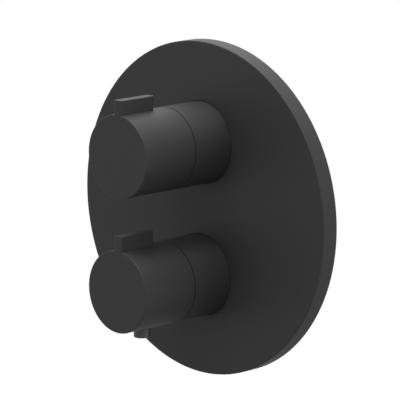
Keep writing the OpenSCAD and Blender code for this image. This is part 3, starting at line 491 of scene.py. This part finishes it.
def finish(nodeName, material):
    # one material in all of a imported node's slots
    slots = nodes[nodeName].data.materials
    if not slots:
        slots.append(material)
    for i in range(len(slots)):
        slots[i] = material


for material, names in finishes.items():
    for nodeName in names:
        finish(nodeName, material)
print("finishes:", sum(len(names) for names in finishes.values()), "nodes")


# Pipe unions with their internal thread

pipeUnion = {
    "flatsMm": 25.0,                    # hexagon across its flats
    "lengthMm": 13.0,
    "chamferMm": 0.8,
    "chamferRings": 5,
    "spigotMm": (10.5, 8.0, 0.4),       # radius, length and chamfer
    "grooveMm": (4.0, 1.9, 1.0),        # place behind the hexagon, width and depth
    "boreMm": 7.7,                      # radius
    "stepMm": 1.0,                      # the thread starts here
    "threadMm": (9.32, 10.48, 1.814),   # minor and major radius and pitch, of a half-inch pipe thread
    "steepness": 1.3,                   # of its flanks, so that crests and roots have flats
    "leadInMm": 0.42,                   # chamfer at the mouth, beyond the major radius
    "runOutMm": 2.0,                    # the thread deepens over this from its step
    "perPitch": 12,                     # rings of the grid in one pitch
    "columns": 96,
}


def unionSurface(values):
    # radius over place and angle, in the port's frame with z out of the body:
    # hexagon: (flats / 2) / cos(angle from the middle of its flat), cut by a cone at each end
    # thread: minor + (major - minor) * w, where w is a triangle wave of z / pitch - angle / turn, made
    # steeper about its middle and clipped
    angle = np.linspace(0, 2 * np.pi, values["columns"], endpoint=False)
    spigotR, spigotLen, spigotEdge = values["spigotMm"]
    place, width, depth = values["grooveMm"]
    minor, major, pitch = values["threadMm"]
    end, step, chamfer = values["lengthMm"], values["stepMm"], values["chamferMm"]
    cornerR = values["flatsMm"] / 2 / math.cos(math.pi / 6)
    flat = values["flatsMm"] / 2 / np.cos(angle % (np.pi / 3) - np.pi / 6)

    def ring(z, radius):
        return np.stack([np.broadcast_to(radius, angle.shape), np.full_like(angle, z)], axis=-1)

    z = np.linspace(step, end, int((end - step) / pitch * values["perPitch"]) + 1)[:, None]
    wave = np.abs(2 * ((z / pitch - angle / (2 * np.pi)) % 1) - 1)
    depthShare = np.clip(values["steepness"] * (wave - 0.5) + 0.5, 0, 1)
    depthShare = depthShare * np.clip((z - step) / values["runOutMm"], 0, 1)
    mouthR = major + values["leadInMm"]
    threadR = np.maximum(minor + (major - minor) * depthShare, mouthR - (end - z))
    thread = np.stack([threadR, np.broadcast_to(z, threadR.shape)], axis=-1)
    ramp = np.linspace(0, chamfer, values["chamferRings"])
    front = [ring(end - d, np.minimum(flat, cornerR - chamfer + d)) for d in ramp]
    back = [ring(d, np.minimum(flat, cornerR - chamfer + d)) for d in ramp[::-1]]
    spigot = [ring(a, b) for a, b in (
        (0, spigotR), (width / 2 - place, spigotR), (width / 2 - place, spigotR - depth),
        (-width / 2 - place, spigotR - depth), (-width / 2 - place, spigotR),
        (spigotEdge - spigotLen, spigotR), (-spigotLen, spigotR - spigotEdge))]
    bore = [ring(-spigotLen, values["boreMm"]), ring(step, values["boreMm"]), ring(step, minor)]
    profile = np.stack(bore + list(thread) + front + back + spigot)
    radius, z = profile[..., 0], profile[..., 1]
    return np.stack([radius * np.cos(angle), radius * np.sin(angle), z], axis=-1)


def makeUnion(port, node, values):
    # the port's mount is at the middle of the thread; angle zero looks sideways on an upright port and
    # to the front on a level one
    outward = np.array(mounts[port]["axis"], dtype=float)
    middle = np.array(mounts[port]["pos_m"]) / mm
    origin = middle - outward * (values["lengthMm"] + values["stepMm"]) / 2
    corner = np.array([1.0, 0, 0] if abs(outward[2]) > 0.5 else [0, -1.0, 0])
    points = origin + unionSurface(values) @ np.stack([corner, np.cross(outward, corner), outward])
    piece = gridMesh(node + ".threaded", points * mm, wrapRows=True, wrapColumns=True)
    piece.data.materials.append(nodes[node].data.materials[0])
    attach(piece, "valve")
    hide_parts(node)
    return piece


for port in ports:
    makeUnion(port, port + "_union", pipeUnion)
print("unions threaded:", len(ports))


# Wound springs

springShape = {
    "perTurn": 36,          # rings of the grid in one turn
    "columns": 12,          # points round the wire
    "closeWound": 1.05,     # pitch of the end coils, in wire thicknesses
}
springs = {
    # wire in mm, turns, the way from the seat that stays to the seat that moves, the body that it
    # rides on, and the joint that presses it, if one does
    "hot_check_spring": (0.6, 2.5, (-1, 0, 0), "valve", "hot_check_lift"),
    "cold_check_spring": (0.6, 2.5, (1, 0, 0), "valve", "cold_check_lift"),
    "button_spring": (0.8, 3.5, (0, 0, -1), "temperature_control", "safety_button_press"),
    "return_spring": (1.2, 3.5, (0, -1, 0), "valve", "regulator_travel"),
    "overload_spring": (1.2, 4.5, (0, -1, 0), "regulator", None),
}


def makeSpring(node, wire, turns, way, body, joint, values):
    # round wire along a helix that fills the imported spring's box: with t from 0 to 1, the place along
    # the way is length * (t - ease * sin(2 pi t) / (2 pi)), so that the end coils close up and the
    # middle ones open
    low, high = (np.array(v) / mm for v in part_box(node))
    way = np.array(way, dtype=float)
    axis = int(np.argmax(np.abs(way)))
    middle, size = (low + high) / 2, high - low
    reach = size[axis] - wire
    radius = (max(np.delete(size, axis)) - wire) / 2
    ease = max(0.0, 1 - values["closeWound"] * wire * turns / reach)
    t = np.linspace(0, 1, int(turns * values["perTurn"]) + 1)
    angle = 2 * np.pi * turns * t
    side = np.roll(np.abs(way), 1)
    other = np.cross(way, side)
    outward = np.cos(angle)[:, None] * side + np.sin(angle)[:, None] * other
    along = reach * (t - ease * np.sin(2 * np.pi * t) / (2 * np.pi) - 0.5)
    path = middle + radius * outward + along[:, None] * way
    tangent = np.gradient(path, axis=0)
    tangent /= np.linalg.norm(tangent, axis=1)[:, None]
    across = np.cross(tangent, outward)
    turn = np.linspace(0, 2 * np.pi, values["columns"], endpoint=False)[None, :, None]
    rim = np.cos(turn) * outward[:, None] + np.sin(turn) * across[:, None]
    points = path[:, None] + wire / 2 * rim
    piece = gridMesh(node + ".wound", points * mm, wrapColumns=True, capEnds=True, sharpDegrees=60)
    piece.data.materials.append(springSteel)
    if joint == "regulator_travel":
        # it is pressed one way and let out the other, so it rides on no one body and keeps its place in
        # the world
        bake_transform(piece)
    else:
        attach(piece, body)
        if joint:
            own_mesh(piece)
    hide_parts(node)
    return piece


for node, (wire, turns, way, body, joint) in springs.items():
    makeSpring(node, wire, turns, way, body, joint, springShape)
print("springs:", len(springs))


# Body casting

casting = {
    "voxelMm": 0.85,
    "mergeMm": 0.001,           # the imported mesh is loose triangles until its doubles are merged
    "smoothSteps": 9,
    "smoothShare": 0.5,         # how far a point goes to the mean of its neighbours in a step
    "bossFaceMm": 32.0,         # machined faces of the side bosses, from the centre line
    "topFaceMm": 54.0,
    "frontFaceMm": -8.0,
    "backFaceMm": 53.0,
    "faceMm": 0.7,              # a point this near to such a face is on it
    "boreMm": 19.2,             # what faces a handle's axis inside this radius is machined
    "seatMm": 18.5,             # and what faces the front inside this one
    "portBoreMm": 12.0,         # and what faces a port's axis, or out of the port, inside this one
    "inward": 0.3,              # least share of a normal that counts as facing an axis
    "facing": 0.7,              # and as facing along one
}


def machinedShare(place, normal, values):
    # one on faces that are cut to size, zero on the cast skin; the share of a normal that faces an axis
    # is -(normal . offset from the axis) / distance
    machined = np.zeros(len(place), dtype=bool)
    for centre in handleCentres.values():
        radial = place[:, (0, 2)] - np.array(centre)[[0, 2]]
        distance = np.linalg.norm(radial, axis=1)
        inward = -np.einsum("ij,ij->i", normal[:, (0, 2)], radial) / np.maximum(distance, 1e-6)
        seat = (normal[:, 1] < -values["facing"]) & (distance < values["seatMm"])
        machined |= (distance < values["boreMm"]) & ((inward > values["inward"]) | seat)
    for port in ports:
        axis = np.array(mounts[port]["axis"], dtype=float)
        offset = place - np.array(mounts[port]["pos_m"]) / mm
        radial = offset - (offset @ axis)[:, None] * axis
        distance = np.linalg.norm(radial, axis=1)
        inward = -np.einsum("ij,ij->i", normal, radial) / np.maximum(distance, 1e-6)
        outFacing = normal @ axis > values["facing"]
        machined |= (distance < values["portBoreMm"]) & ((inward > values["inward"]) | outFacing)
    for column, level, sign in ((0, values["bossFaceMm"], 1), (0, -values["bossFaceMm"], -1),
                                (2, values["topFaceMm"], 1), (1, values["frontFaceMm"], -1),
                                (1, values["backFaceMm"], 1)):
        near = np.abs(place[:, column] - level) < values["faceMm"]
        machined |= near & (sign * normal[:, column] > values["facing"])
    return machined.astype(np.float32)


def makeCasting(values):
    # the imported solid, remeshed to even squares; its cast skin is then smoothed, each point moving a
    # share of the way to the mean of its neighbours, so that the corners round off as a casting's do
    source = bmesh.new()
    source.from_mesh(nodes["valve_body"].data)
    bmesh.ops.remove_doubles(source, verts=source.verts, dist=values["mergeMm"] * mm)
    mesh = bpy.data.meshes.new("valve_body.cast")
    source.to_mesh(mesh)
    source.free()
    piece = bpy.data.objects.new("valve_body.cast", mesh)
    scene.collection.objects.link(piece)
    remesh = piece.modifiers.new("voxels", "REMESH")
    remesh.mode, remesh.voxel_size, remesh.use_smooth_shade = "VOXEL", values["voxelMm"] * mm, True
    depsgraph = bpy.context.evaluated_depsgraph_get()
    made = bpy.data.meshes.new_from_object(piece.evaluated_get(depsgraph))
    piece.modifiers.clear()
    piece.data = made
    bpy.data.meshes.remove(mesh)
    made.name = "valve_body.cast"

    count = len(made.vertices)
    place = np.empty(count * 3, dtype=np.float32)
    made.vertices.foreach_get("co", place)
    place = place.reshape(-1, 3).astype(float) / mm
    normal = np.empty(count * 3, dtype=np.float32)
    made.vertices.foreach_get("normal", normal)
    normal = normal.reshape(-1, 3)
    edges = np.empty(len(made.edges) * 2, dtype=np.int32)
    made.edges.foreach_get("vertices", edges)
    one, other = edges.reshape(-1, 2).T
    machined = machinedShare(place, normal, values)
    neighbours = np.bincount(np.concatenate([one, other]), minlength=count)[:, None]
    free = (values["smoothShare"] * (1 - machined))[:, None]
    for _ in range(values["smoothSteps"]):
        total = np.stack([np.bincount(one, place[other, k], count)
                          + np.bincount(other, place[one, k], count) for k in range(3)], axis=-1)
        place += free * (total / neighbours - place)
    made.vertices.foreach_set("co", (place * mm).reshape(-1).astype(np.float32))
    cut = made.attributes.new("machined", "FLOAT", "POINT")
    cut.data.foreach_set("value", machined)
    made.update()
    made.shade_smooth()
    made.materials.clear()
    made.materials.append(castBody)
    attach(piece, "valve")
    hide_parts("valve_body")
    print("casting:", count, "points,", int(machined.sum()), "on machined faces")
    return piece


makeCasting(casting)


# Studio

studio = {
    "floorDrop": 0.42,              # floor below the valve's axis
    "floorRadii": (0.00001, 1.0),   # of its inmost ring, too small to see, and its edge
    "floorRings": 12,
    "floorSpokes": 72,
    "fadeRadii": (0.40, 0.75),      # between these the floor fades to the white backdrop
    "floorHex": "#cacac8",          # as the camera sees it
    "bounceHex": "#9c9c9a",         # as it colours the light that it sends up at the underside
    "skyStrength": 0.57,            # soft light from all round
    "lampSpread": 0.57,             # a lamp's width as a share of its distance
}
lamps = {
    # azimuth in degrees from the user's side towards the right, elevation, distance and watts
    "overhead": (0, 80, 1.4, 13.4),
    "overheadLeft": (-30, 72, 1.4, 4.4),
    "overheadSide": (90, 68, 1.4, 7.3),
    "overheadBack": (135, 68, 1.4, 3.5),
    "frontRight": (30, 30, 0.85, 1.1),
    "rightSide": (60, 30, 0.85, 0.3),
    "sideBack": (115, -12, 1.4, 3.1),
    "leftBack": (-135, 50, 1.4, 6.4),
}


def seenRay(tree):
    # one for rays from the camera, and for rays that a glossy or clear surface sends
    path = addNode(tree, "ShaderNodeLightPath")
    first = addNode(tree, "ShaderNodeMath", {"operation": "MAXIMUM"}, {
        0: path.outputs["Is Camera Ray"], 1: path.outputs["Is Glossy Ray"]})
    return addNode(tree, "ShaderNodeMath", {"operation": "MAXIMUM"}, {
        0: first.outputs["Value"], 1: path.outputs["Is Transmission Ray"]}).outputs["Value"]


def makeSky(values):
    # white to look at, and weaker as a light
    world = bpy.data.worlds.new("sky")
    world.use_nodes = True
    tree = world.node_tree
    tree.nodes.clear()
    light = addNode(tree, "ShaderNodeBackground", inputs={
        "Color": (1, 1, 1, 1), "Strength": values["skyStrength"]})
    seen = addNode(tree, "ShaderNodeBackground", inputs={"Color": (1, 1, 1, 1), "Strength": 1.0})
    mix = addNode(tree, "ShaderNodeMixShader", inputs={
        0: seenRay(tree), 1: light.outputs[0], 2: seen.outputs[0]})
    addNode(tree, "ShaderNodeOutputWorld", inputs={"Surface": mix.outputs[0]})
    scene.world = world


def makeFloor(values):
    # a disc: the radius grows down one side of the grid, the angle along the other; its fade to white
    # shows where it is seen or mirrored and lights nothing, and it is clear from below, so that the
    # valve's underside can be looked at
    radius, angle = np.meshgrid(np.linspace(*values["floorRadii"], values["floorRings"]),
                                np.linspace(0, 2 * np.pi, values["floorSpokes"], endpoint=False),
                                indexing="ij")
    points = np.stack([radius * np.cos(angle), radius * np.sin(angle),
                       np.full_like(radius, -values["floorDrop"])], axis=-1)
    mesh = gridMesh("floor", points, wrapColumns=True)
    material = bpy.data.materials.new("paleFloor")
    material.use_nodes = True
    tree = material.node_tree
    tree.nodes.clear()
    place = addNode(tree, "ShaderNodeTexCoord")
    reach = addNode(tree, "ShaderNodeVectorMath", {"operation": "LENGTH"}, {0: place.outputs["Object"]})
    fade = addNode(tree, "ShaderNodeMapRange", {"interpolation_type": "SMOOTHSTEP"}, {
        "Value": reach.outputs["Value"],
        "From Min": values["fadeRadii"][0], "From Max": values["fadeRadii"][1]})
    shown = addNode(tree, "ShaderNodeMath", {"operation": "MULTIPLY"}, {
        0: fade.outputs["Result"], 1: seenRay(tree)})
    looked = addNode(tree, "ShaderNodeLightPath").outputs["Is Camera Ray"]
    colour = addNode(tree, "ShaderNodeMix", {"data_type": "RGBA"}, {
        0: looked, 6: linearFrom(values["bounceHex"]), 7: linearFrom(values["floorHex"])})
    pale = addNode(tree, "ShaderNodeBsdfDiffuse", inputs={"Color": colour.outputs[2]})
    white = addNode(tree, "ShaderNodeEmission", inputs={"Strength": 1.0})
    mix = addNode(tree, "ShaderNodeMixShader", inputs={
        0: shown.outputs["Value"], 1: pale.outputs[0], 2: white.outputs[0]})
    clear = addNode(tree, "ShaderNodeBsdfTransparent")
    below = addNode(tree, "ShaderNodeNewGeometry").outputs["Backfacing"]
    oneSided = addNode(tree, "ShaderNodeMixShader", inputs={
        0: below, 1: mix.outputs[0], 2: clear.outputs[0]})
    addNode(tree, "ShaderNodeOutputMaterial", inputs={"Surface": oneSided.outputs[0]})
    mesh.data.materials.append(material)
    return mesh


def makeLamp(name, azimuth, elevation, distance, watts, values):
    # a round soft box that looks at the valve
    data = bpy.data.lights.new(name, "AREA")
    data.shape, data.size, data.energy = "DISK", values["lampSpread"] * distance, watts
    lamp = bpy.data.objects.new(name, data)
    back = cameraAxes(azimuth, elevation, 0)[2]
    lamp.location = back * distance
    lamp.rotation_euler = (-back).to_track_quat("-Z", "Y").to_euler()
    scene.collection.objects.link(lamp)
    return lamp


makeSky(studio)
makeFloor(studio)
for name, (azimuth, elevation, distance, watts) in lamps.items():
    makeLamp(name, azimuth, elevation, distance, watts, studio)
scene.view_settings.view_transform = "Standard"
print("studio:", len(lamps), "lamps")
